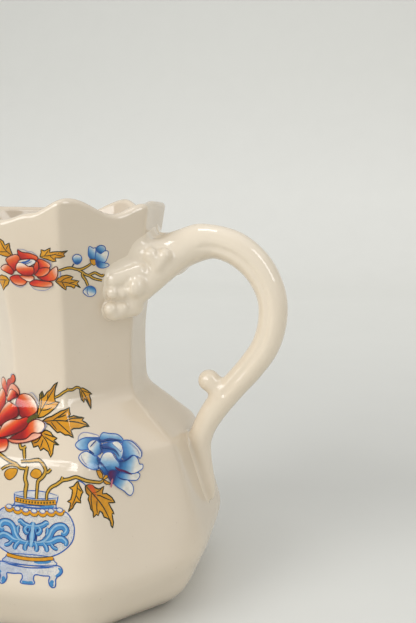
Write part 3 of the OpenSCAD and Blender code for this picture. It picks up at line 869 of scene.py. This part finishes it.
BELLY_LEAVES = [
    ((-7, 65), [-32,-48, -28,-32, -24,-18, -23,-6, -19,-3, -10,2, -2,14, 8,22, 18,36, 28,44, 22,28, 19,14,
     18,0, 20,-11, 31,-12, 20,-26, 4,-38, -14,-48, -26,-51], [[-28,-48, -10,-20, 6,6, 25,39], [-22,-38,
     -19,-18, -17,-4], [-17,-34, -4,-32, 10,-26], [-9,-19, 4,-18, 20,-11], [-2,-7, 1,10]]),
    ((-2, 59), [-68,2, -56,10, -42,14, -30,20, -16,27, -4,30, 7,34, 7,26, 9,19, 0,13, 18,15, 32,10, 46,7,
     40,2, 50,-4, 59,-13, 46,-11, 32,-13, 16,-11, 8,-14, 14,-30, 2,-24, -8,-24, -20,-18, -28,-20, -36,-14,
     -48,-4, -58,-1], [[-64,2, -20,6, 20,2, 56,-11], [-40,5, -16,18, 4,30], [-30,5, -12,-8, 10,-24],
     [-8,5, 14,10, 42,6], [-44,2, -29,-14], [-26,11, -2,19]]),
    ((-8, 55), [-38,0, -28,6, -14,11, -8,20, 2,24, 14,20, 21,12, 31,8, 22,3, 35,-6, 22,-5, 19,-16, 18,-24,
     12,-33, 6,-21, -6,-15, -14,-20, -20,-10, -32,-14], [[-10,14, 4,-2, 13,-26], [-2,10, 12,3, 30,-4],
     [-12,9, -22,-2, -32,-5], [-4,16, 11,13, 28,9], [-6,4, -14,-14]]),
    ((4, 64), [-22,31, -12,30, 0,21, 13,8, 5,9, 9,-8, 8,-28, 2,-18, -4,-6, -9,0, -11,-10, -18,-1, -21,14],
     [[-20,30, -7,8, 6,-22], [-14,23, 6,12], [-18,22, -13,-4]]),
    ((-1, 43), [10,36, 13,26, 18,16, 22,9, 18,4, 14,-8, 15,-17, 4,-15, -2,-22, -6,-30, -18,-39, -13,-28,
     -11,-18, -19,-15, -10,-9, -6,4, -5,14, -13,19, -2,23, 4,30], [[8,32, 7,14, 2,-4, -9,-27], [8,19,
     18,10], [4,2, 12,-12]]),
    ((6, 40), [-41,54, -34,55, -24,52, -16,44, -8,39, -1,39, 8,42, 4,32, 3,25, 14,23, 22,16, 28,10, 36,-4,
     26,-2, 18,0, 24,-14, 28,-21, 32,-31, 26,-28, 27,-38, 29,-50, 26,-63, 22,-56, 20,-44, 14,-37, 4,-31,
     0,-20, -6,-14, -11,-24, -16,-20, -24,-26, -24,-12, -30,-4, -32,8, -36,20, -33,28, -40,36, -42,46],
     [[-41,54, -24,32, -6,8, 8,-16, 24,-52], [-20,28, -4,22, 8,14, 28,2], [-26,34, -28,16, -25,-14],
     [-12,14, -14,-2, -13,-18], [-24,33, -10,33, 3,39]])]
OLIVE_LEAF = ((-9, 65), [-3,-6, -3,6, 5,17, 8,7, 7,-1], [[1,-2, 4,12]])
# A patch of orange on the large leaf.
GLOW = [-15,23, -3,22, 5,6, 10,-16, 6,-28, 1,-10, -7,9]
BELLY_STEMS = [
    (0.42, [9,150, 21,156, 34,166, 46,171, 58,170, 69,175, 79,171]),
    (0.36, [43,170, 46,176]),
    (0.5, [-89,43, -86,33, -78,32, -77,22, -76,9]),
    (0.4, [-82,31, -72,37]),
    (0.62, [-77,-84, -76,-66, -73,-50, -76,-36, -73,-20, -69,-6]),
    (0.5, [-72,-12, -88,-11, -100,-2, -120,5, -146,18, -166,16]),
    (0.56, [-86,4, -64,6, -46,9, -36,8, -27,-1, -22,-12, -25,-22, -32,-31, -42,-40, -45,-54, -48,-84]),
    (0.4, [-24,-18, -16,-17, -8,-9]),
    (0.34, [-92,-8, -110,-5, -126,-10, -138,-18]),
    (0.5, [-22,-84, -20,-68, -10,-54, 6,-45, 20,-35, 36,-31, 54,-25, 66,-28, 82,-35, 100,-41, 118,-46,
     127,-42]),
    (0.4, [17,-36, 22,-26])]
BUDS = [((-17, 47), [-20,3, -17,-7, -8,-12, 2,-7, 11,3, 14,15, 2,17, -12,13]),
        ((-11, 48), [-12,-6, -6,-12, 4,-14, 14,-9, 17,0, 11,8, 0,9, -8,3])]
POSY_MIDDLE = -18.4


def neck_leaves(sheet):
    for row in NECK_LEAVES:
        leaf(sheet, *leaf_shape(*row))


def belly_leaves(sheet):
    shapes = [leaf_shape(*row) for row in BELLY_LEAVES]
    for outline, veins in shapes:
        leaf(sheet, outline, veins, 0.32)
    above, _, below, *_, large = shapes
    for outline, veins in (above, below):
        leaf(sheet, flipped(outline, POSY_MIDDLE), [flipped(v, POSY_MIDDLE) for v in veins], 0.32)
    leaf(sheet, *leaf_shape(*OLIVE_LEAF), 0.26, OLIVE)
    sheet.level += 1
    patch(sheet, closed_curve(pairs(GLOW, (4, 43))), OCHRE, (3.2, 44.6), (5.2, 39.6))
    sheet.level += 1
    stroke(sheet, large[1][0], 0.26, LEAF_LINE)


def belly_stems(sheet):
    stems(sheet, (-6, 50), BELLY_STEMS)
    stroke(sheet, pairs([1,467, 10,463, 19,455]), 0.3, BLUE_LINE, taper=0.8)
    for middle, outline in BUDS:
        curve = closed_curve(pairs(outline, middle))
        patch(sheet, curve, GOLD, (curve[:, 0].min(), 45.0), (curve[:, 0].max(), 48.2))
        outline_stroke(sheet, curve, 0.2, LEAF_LINE)


# The vase is drawn about an upright axis and then leaned, as it was printed a little askew.
AXIS_TOP = (-10.95, 42.0)
AXIS_LEAN = 0.1375
VASE_LINE = 0.3
# The right halves of its outlines, from the top round.
VASE_HALF = [36,399, 76,391, 91,380, 101,364, 105.5,348, 104.4,326, 96,310, 81,296, 64,286, 34,276]
COLLAR_HALF = [52,431, 57,425, 55,412, 53,404, 56,397]
FLARE_HALF = [26,282, 57,279, 62,272, 69,264, 44,257]
STAND_HALF = [40,255, 66,261, 77,260, 83.5,254, 85,247, 81,240, 73,234, 70,227, 71,219, 70,211,
              63,209, 56,215, 53,225, 54,235, 38,235, 18,236, 14,226, 18,217, 12,213]


def lean(points):
    """Moves points x, z drawn about the vase's own axis to q, z on the jug."""
    p = np.array(points, float)
    p[:, 0] += AXIS_TOP[0] - AXIS_LEAN * (AXIS_TOP[1] - p[:, 1])
    return p


def mirrored(half, *middle):
    """A closed outline from its right half, with a point on the axis before it where one is given."""
    half = pairs(half)
    return lean(np.vstack([pairs(middle), half, half[::-1] * (-1, 1)]))


def bow(half_width, height, drop, steps=9):
    """A shallow hanging curve across the vase: its ends are higher than its middle by drop."""
    return [(half_width * t, height + drop * t * t) for t in np.linspace(-1, 1, steps)]


def vase_body(sheet):
    body = closed_curve(mirrored(VASE_HALF))
    patch(sheet, body, VASE_FILL, (-20.0, 29.0), (-8.0, 40.0), 1.0)
    sheet.level += 1
    outline_stroke(sheet, body, VASE_LINE, BLUE_LINE)
    sheet.level -= 1
    collar = closed_curve(mirrored(COLLAR_HALF, 0, 436))
    patch(sheet, collar, VASE_FILL, (-18.0, 40.0), (-8.0, 44.0), 0.5)
    sheet.level += 1
    for half_width, height, drop, width in ((5.4, 43.6, -0.8, 0.24), (5.7, 41.7, 0.6, 0.3),
                                            (5.6, 39.4, 0.5, 0.45)):
        stroke(sheet, lean(bow(half_width, height, drop)), width, BLUE_LINE, smooth=2)
    for side in (1, -1):
        edge = pairs([56.5,426, 55,414, 53,404, 57,396]) * (side, 1)
        stroke(sheet, lean(edge), VASE_LINE, BLUE_LINE, taper=0.8)
    stroke(sheet, lean(pairs([14,397, 32,399, 50,402])), 0.5, BLUE[1], taper=0.3)
    sheet.level -= 1


def vase_foot(sheet):
    flare = closed_curve(mirrored(FLARE_HALF))
    patch(sheet, flare, VASE_FILL, (-20.0, 25.0), (-6.0, 28.0), 0.8)
    sheet.level += 1
    outline_stroke(sheet, flare, 0.22, BLUE_LINE)
    sheet.level += 1
    stand = closed_curve(mirrored(STAND_HALF, 0, 251), 4)
    patch(sheet, stand, VASE_FILL, (-20.0, 22.0), (-6.0, 27.0), 0.7)
    sheet.level += 1
    outline_stroke(sheet, stand, VASE_LINE, BLUE_LINE)
    for side in (1, -1):
        for run, width in (([74,256, 81,250, 78,242, 69,236], 0.7), ([64,226, 60,218, 65,212], 0.95)):
            stroke(sheet, lean(pairs(run) * (side, 1)), width, BLUE[1], taper=0.5)
    stroke(sheet, lean(pairs([-14,218, 0,215.5, 14,218])), 0.75, BLUE[1], taper=0.6)
    for height in (25.7, 25.1):
        stroke(sheet, lean(bow(6.4, height, 0.6)), 0.2, BLUE_LINE, smooth=2)
    stroke(sheet, lean(pairs([12,265, 34,267, 54,270])), 0.8, BLUE[1], taper=0.3)
    sheet.level -= 3


# One half of the scroll on the vase: width of each curl, and its run about the vase's axis.
SCROLL_CURLS = [
    (1.5, [0,312, 18,310, 33,315, 43,327, 49,342, 60,353, 76,355, 85,346, 81,337, 73,339]),
    (1.4, [30,312, 46,314, 62,323, 76,325, 87,317, 86,309]),
    (1.1, [0,349, 13,350, 24,354, 33,360, 40,358]),
    (0.9, [13,350, 20,342, 16,334, 9,332]),
    (0.8, [36,330, 39,340, 36,349]),
    (0.9, [9,312, 15,300, 13,290]),
    (0.9, [30,312, 39,302, 42,291]),
    (0.7, [49,312, 58,303, 69,300])]


def vase_scroll(sheet):
    """Foliate scrolls, the same on both sides of the vase's axis: a dark edge, blue, then a pale gleam."""
    sheet.level += 1
    layers = ((0.4, NAVY, 0.0), (0.0, BLUE[1], 0.0), (-0.72, BLUE[2], 0.2))
    for grow, tone, up in layers:
        for side in (1, -1):
            for width, curl in SCROLL_CURLS:
                line = lean(pairs(curl) * (side, 1) + (0, up * width))
                wide = width + grow if grow >= 0 else width * (1 + grow)
                stroke(sheet, line, wide, tone, taper=0.35)
        trunk = lean(pairs([0,300, 0,330, 0,360]))
        stroke(sheet, trunk, max(0.3, 2.0 + grow * 1.7), tone, taper=0.35)
        sheet.level += 1
    for side in (1, -1):
        fold = lean(pairs([5,310, 9,326, 4,344]) * (side, 1))
        stroke(sheet, fold, 0.3, NAVY, taper=0.2)
    sheet.level -= 4


def vase_gold(sheet):
    """The bands of the vase: one round the collar with a row of dots, a scalloped one, and one below."""
    band = lean(bow(5.25, 40.75, 0.45))
    stroke(sheet, band, 1.3, LEAF_LINE, taper=1.0, smooth=2)
    sheet.level += 1
    stroke(sheet, band, 0.95, GOLD[2], taper=1.0, smooth=2)
    sheet.level += 1
    for x in np.linspace(-4.6, 4.6, 13):
        z = 40.75 + 0.45 * (x / 5.25) ** 2
        stroke(sheet, lean([(x, z - 0.3), (x, z + 0.3)]), 0.42, OLIVE[0], taper=0.4)
    edge = lean(bow(7.75, 38.3, 0.9, 15))
    lobes = lean([(x, 38.05 + 0.9 * (x / 7.75) ** 2) for x in np.linspace(-6.5, 6.5, 7)])
    stroke(sheet, edge, 1.0, LEAF_LINE, taper=0.6, smooth=2)
    for q, z in lobes:
        patch(sheet, disc(q, z, 1.1, 0.78), [LEAF_LINE, LEAF_LINE], (q - 1, z), (q + 1, z))
    sheet.level += 1
    stroke(sheet, edge, 0.7, GOLD[2], taper=0.6, smooth=2)
    for q, z in lobes:
        patch(sheet, disc(q, z, 0.94, 0.62), [GOLD[2], GOLD[3]], (q - 1, z), (q + 1, z))
    sheet.level += 1
    for q, z in lobes:
        patch(sheet, disc(q, z + 0.7, 0.72, 0.5), CREAM, (q - 1, z), (q + 1, z))
        outline_stroke(sheet, disc(q, z + 0.7, 0.74, 0.52), 0.2, BLUE_LINE)
    band = lean(bow(5.9, 27.15, 0.7))
    stroke(sheet, band, 1.0, LEAF_LINE, taper=1.0, smooth=2)
    sheet.level += 1
    stroke(sheet, band, 0.66, GOLD[2], taper=1.0, smooth=2)
    sheet.level -= 5


def disc(q, z, wide, high):
    turn = np.linspace(0, TAU, 17)[:-1]
    return np.stack([q + wide * np.cos(turn), z + high * np.sin(turn)], 1)


def gold_sheet():
    sheet = Sheet()
    neck_leaves(sheet)
    sheet.level = 2
    stems(sheet, (4, 100), NECK_STEMS)
    strokes(sheet, (4, 100), NECK_TWIGS)
    sheet.level = 0
    belly_leaves(sheet)
    sheet.level = 5
    belly_stems(sheet)
    sheet.level = 9
    vase_gold(sheet)
    sheet.level = 8
    for row in CALYXES:
        leaf(sheet, *leaf_shape(*row), 0.2)
    return sheet


def red_sheet():
    sheet = Sheet()
    sheet.level = 3
    flower(sheet, (-11, 102), NECK_PEONY, NECK_PEONY_LINES)
    sheet.level = 3
    flower(sheet, (-18, 60), BELLY_PEONY, BELLY_PEONY_LINES)
    return sheet


def blue_sheet():
    sheet = Sheet()
    sheet.level = 1
    vase_body(sheet)
    vase_foot(sheet)
    sheet.level = 3
    vase_scroll(sheet)
    sheet.level = 1
    flower(sheet, (10, 50), BELLY_BLUE, BELLY_BLUE_LINES, BELLY_BLUE_SLIPS)
    sheet.level = 1
    flower(sheet, (6, 100), NECK_BLUE, NECK_BLUE_LINES)
    return sheet


def lay_sheet(sheet, name, half_turn, material):
    """Lays a sheet of artwork on the jug, with the wall's own normals so that the gloss runs on."""
    flat = np.concatenate(sheet.flat)
    points, ways = on_jug(flat[:, 0], flat[:, 1], np.concatenate(sheet.lift), half_turn)
    obj = new_mesh(name, points, sheet.faces)
    colour = obj.data.color_attributes.new("print", "FLOAT_COLOR", "POINT")
    rgba = np.concatenate([np.concatenate(sheet.tone), np.concatenate(sheet.dots)[:, None]], 1)
    colour.data.foreach_set("color", rgba.ravel().tolist())
    obj.data.normals_split_custom_set_from_vertices(ways.tolist())
    obj.data.materials.append(material)
    return obj


# ---------------------------------------------------------------- materials
def new_material(name):
    mat = bpy.data.materials.new(name)
    mat.use_nodes = True
    nodes, links = mat.node_tree.nodes, mat.node_tree.links
    return mat, nodes, links, nodes["Principled BSDF"]


def add_glaze(shader, roughness, coat):
    shader.inputs["Roughness"].default_value = roughness
    shader.inputs["IOR"].default_value = 1.5
    shader.inputs["Coat Weight"].default_value = coat
    shader.inputs["Coat Roughness"].default_value = 0.05


def soft_noise(nodes, links, scale, detail, coord):
    noise = nodes.new("ShaderNodeTexNoise")
    noise.inputs["Scale"].default_value = scale
    noise.inputs["Detail"].default_value = detail
    links.new(coord.outputs["Object"], noise.inputs["Vector"])
    return noise.outputs["Fac"]


def spread(nodes, links, value, low, high, to_low, to_high):
    """Maps the values from low to high onto those from to_low to to_high."""
    node = nodes.new("ShaderNodeMapRange")
    for socket, setting in (("From Min", low), ("From Max", high), ("To Min", to_low), ("To Max", to_high)):
        node.inputs[socket].default_value = setting
    links.new(value, node.inputs["Value"])
    return node.outputs["Result"]


def times(nodes, links, colour, factor):
    node = nodes.new("ShaderNodeVectorMath")
    node.operation = "SCALE"
    links.new(colour, node.inputs[0])
    links.new(factor, node.inputs["Scale"])
    return node.outputs["Vector"]


def mixed_in(nodes, links, amount, colour, other):
    """The colour with an amount of one other colour mixed in."""
    node = nodes.new("ShaderNodeMix")
    node.data_type = "RGBA"
    node.inputs["B"].default_value = other
    links.new(amount, node.inputs["Factor"])
    links.new(colour, node.inputs["A"])
    return node.outputs["Result"]


def rippled_gloss(nodes, links, shader, coord):
    bump = nodes.new("ShaderNodeBump")
    bump.inputs["Strength"].default_value = 0.05
    bump.inputs["Distance"].default_value = 0.0004
    links.new(soft_noise(nodes, links, 240, 2, coord), bump.inputs["Height"])
    links.new(bump.outputs["Normal"], shader.inputs["Normal"])


def porcelain(name, dull, bright, roughness):
    """Warm cream glaze: faint clouding of its colour, small specks, and a gently rippled gloss."""
    mat, nodes, links, shader = new_material(name)
    add_glaze(shader, roughness, 0.3)
    coord = nodes.new("ShaderNodeTexCoord")
    tone = nodes.new("ShaderNodeValToRGB")
    for stop, place, colour in zip(tone.color_ramp.elements, (0.3, 0.75), (dull, bright)):
        stop.position = place
        stop.color = colour
    links.new(soft_noise(nodes, links, 26, 3, coord), tone.inputs["Fac"])
    specks = spread(nodes, links, soft_noise(nodes, links, 900, 2, coord), 0.73, 0.80, 0, 0.2)
    speckled = mixed_in(nodes, links, specks, tone.outputs["Color"], ink(150, 120, 88))
    links.new(speckled, shader.inputs["Base Color"])
    rippled_gloss(nodes, links, shader, coord)
    return mat


def printed_glaze(name):
    """Print under the glaze: the artwork's own colours, uneven ink, and fine dots on the painted vase."""
    mat, nodes, links, shader = new_material(name)
    add_glaze(shader, 0.09, 0.05)
    coord = nodes.new("ShaderNodeTexCoord")
    tone = nodes.new("ShaderNodeAttribute")
    tone.attribute_name = "print"
    strength = spread(nodes, links, soft_noise(nodes, links, 700, 3, coord), 0.3, 0.7, 0.86, 1.1)
    inked = times(nodes, links, tone.outputs["Color"], strength)
    amount = nodes.new("ShaderNodeMath")
    amount.operation = "MULTIPLY"
    dots = spread(nodes, links, soft_noise(nodes, links, 2600, 1, coord), 0.52, 0.60, 0, 0.42)
    links.new(dots, amount.inputs[0])
    links.new(tone.outputs["Alpha"], amount.inputs[1])
    dotted = mixed_in(nodes, links, amount.outputs["Value"], inked, ink(118, 134, 178))
    links.new(dotted, shader.inputs["Base Color"])
    rippled_gloss(nodes, links, shader, coord)
    return mat


# ---------------------------------------------------------------- studio
# The camera that the photo was taken with, as it was solved: place in metres, the way it looks,
# and the lens and the width of its sensor in millimetres.
CAMERA_PLACE = (0.07835, -0.2048, 0.1188)
CAMERA_WAY = (-0.1636, 0.9747, -0.1524)
LENS, SENSOR_WIDTH = 40.45, 36.0


def make_camera():
    data = bpy.data.cameras.new("camera")
    cam = bpy.data.objects.new("camera", data)
    bpy.context.scene.collection.objects.link(cam)
    data.sensor_width = SENSOR_WIDTH
    data.lens = LENS
    data.clip_start, data.clip_end = 0.01, 20.0
    cam.location = CAMERA_PLACE
    x, y, z = CAMERA_WAY
    pitch = math.atan2(z, math.hypot(x, y))
    yaw = math.atan2(-x, y)
    cam.rotation_euler = (math.pi / 2 + pitch, 0, yaw)
    bpy.context.scene.camera = cam


# The floor and backdrop, in metres: half width, distance to the backdrop, radius of the bend, height.
HALF_WIDTH, BACKDROP, BEND, BACKDROP_TOP = 4.0, 1.1, 0.35, 1.6
# Painted light and shade on the paper: painted shade on the floor just behind the jug, most at about 8 cm
# along, and painted light up the backdrop. The rows give the metres run along the floor and up the
# backdrop, and the share of the tone.
PAPER_LIGHT_AND_SHADE = [(-0.1, 0.94), (0.0, 0.93), (0.03, 0.89), (0.08, 0.83), (0.18, 0.87), (0.4, 1.01),
               (0.65, 1.1), (1.15, 1.1), (1.6, 0.97)]


def make_stage():
    """A pale floor that sweeps up into a backdrop, wide enough for any view of the jug."""
    profile = [(-HALF_WIDTH, 0.0)] + [(y, 0.0) for y in np.linspace(-3.5, BACKDROP - BEND, 12)]
    for t in np.linspace(0, math.pi / 2, 14)[1:]:
        profile.append((BACKDROP - BEND + BEND * math.sin(t), BEND - BEND * math.cos(t)))
    profile += [(BACKDROP, z) for z in np.linspace(BEND + 0.1, BACKDROP_TOP, 6)]
    rows = [(x / MM, y / MM, z / MM - 0.02) for y, z in profile for x in (-HALF_WIDTH, HALF_WIDTH)]
    faces = [(2 * i, 2 * i + 1, 2 * i + 3, 2 * i + 2) for i in range(len(profile) - 1)]
    floor = new_mesh("studio_floor", rows, faces)
    mat, nodes, links, shader = new_material("studio_paper")
    shader.inputs["Roughness"].default_value = 0.55
    coord = nodes.new("ShaderNodeTexCoord")
    parts = nodes.new("ShaderNodeSeparateXYZ")
    links.new(coord.outputs["Object"], parts.inputs["Vector"])
    along = nodes.new("ShaderNodeMath")
    along.operation = "ADD"
    links.new(parts.outputs["Y"], along.inputs[0])
    links.new(parts.outputs["Z"], along.inputs[1])
    start, end = PAPER_LIGHT_AND_SHADE[0][0], PAPER_LIGHT_AND_SHADE[-1][0]
    # The ramp paints light and shade along the run of the paper: a darker floor behind the jug, a lighter
    # backdrop.
    tone = nodes.new("ShaderNodeValToRGB")
    stops = tone.color_ramp.elements
    for n, (reached, share) in enumerate(PAPER_LIGHT_AND_SHADE):
        at = (reached - start) / (end - start)
        stop = stops[n] if n < 2 else stops.new(at)
        stop.position = at
        stop.color = [share * c for c in ink(226, 226, 221)[:3]] + [1.0]
    links.new(spread(nodes, links, along.outputs["Value"], start, end, 0, 1), tone.inputs["Fac"])
    grain = spread(nodes, links, soft_noise(nodes, links, 30, 4, coord), 0, 1, 0.985, 1.015)
    links.new(times(nodes, links, tone.outputs["Color"], grain), shader.inputs["Base Color"])
    floor.data.materials.append(mat)


# Lamps: name, azimuth and elevation in degrees, distance, width, height, power, and whether they
# only show as bright reflections in the glaze. They point at the middle of the jug, in metres.
LAMPS = [("left_softbox", -132, 31.5, 0.9, 0.5, 0.5, 3.7, False),
         ("top_softbox", 0, 65, 1.2, 1.2, 1.2, 2.4, False),
         ("edge_strip", -102, 30, 0.9, 0.2, 0.4, 1.6, True),
         ("crown_lamp", -90, 85, 0.9, 0.2, 0.2, 0.8, True),
         ("right_strip", -26, 31.5, 0.9, 0.2, 0.5, 1.3, True)]
LAMP_AIM = (0.0, 0.0, 0.06)
AIR_LIGHT = 0.748


def add_softbox(name, place, aim, width, height, power):
    data = bpy.data.lights.new(name, "AREA")
    data.shape = "RECTANGLE"
    data.size, data.size_y = width, height
    data.energy = power
    lamp = bpy.data.objects.new(name, data)
    bpy.context.scene.collection.objects.link(lamp)
    lamp.location = place
    way = np.array(aim, float) - np.array(place, float)
    away = -way / np.linalg.norm(way)
    side = np.cross((0, 0, 1), away)
    side /= np.linalg.norm(side)
    up = np.cross(away, side)
    lamp.rotation_euler = Matrix((side, up, away)).transposed().to_euler()
    return lamp


def around(aim, azimuth, elevation, distance):
    """The place at a distance from aim, in a direction given in degrees."""
    a, e = math.radians(azimuth), math.radians(elevation)
    way = np.array([math.cos(a) * math.cos(e), math.sin(a) * math.cos(e), math.sin(e)])
    return tuple(np.array(aim) + distance * way)


def light_scene():
    world = bpy.data.worlds.new("studio_air")
    world.use_nodes = True
    back = world.node_tree.nodes["Background"]
    back.inputs["Color"].default_value = (1.0, 1.0, 1.0, 1.0)
    back.inputs["Strength"].default_value = AIR_LIGHT
    bpy.context.scene.world = world
    for name, azimuth, elevation, distance, width, height, power, gloss_only in LAMPS:
        place = around(LAMP_AIM, azimuth, elevation, distance)
        lamp = add_softbox(name, place, LAMP_AIM, width, height, power)
        lamp.visible_diffuse = not gloss_only


def set_display():
    view = bpy.context.scene.view_settings
    view.view_transform = "Standard"
    view.look = "None"
    view.exposure = 0.0
    view.gamma = 1.0


make_camera()
make_stage()
light_scene()
set_display()

body_glaze = porcelain("cream_glaze", ink(214, 199, 177), ink(220, 207, 187), 0.09)
# The handle's cream is painted lighter and warmer than the body's: painted light, standing in for the extra
# light that the handle catches.
handle_glaze = porcelain("handle_cream_glaze_painted_lighter", ink(225, 211, 189), ink(231, 219, 199), 0.06)
body = make_body()
handle = make_handle()
for piece, node, glaze in ((body, "body", body_glaze), (handle, "handle", handle_glaze)):
    piece.data.materials.append(glaze)
    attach(piece, "root")
    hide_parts(node)

for colour, sheet in (("gold", gold_sheet()), ("blue", blue_sheet()), ("red", red_sheet())):
    ink_glaze = printed_glaze(colour + "_print_glaze")
    for side, half_turn in (("front", False), ("back", True)):
        node = side + "_" + colour + "_print"
        piece = lay_sheet(sheet, node + "_art", half_turn, ink_glaze)
        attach(piece, "root")
        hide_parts(node)
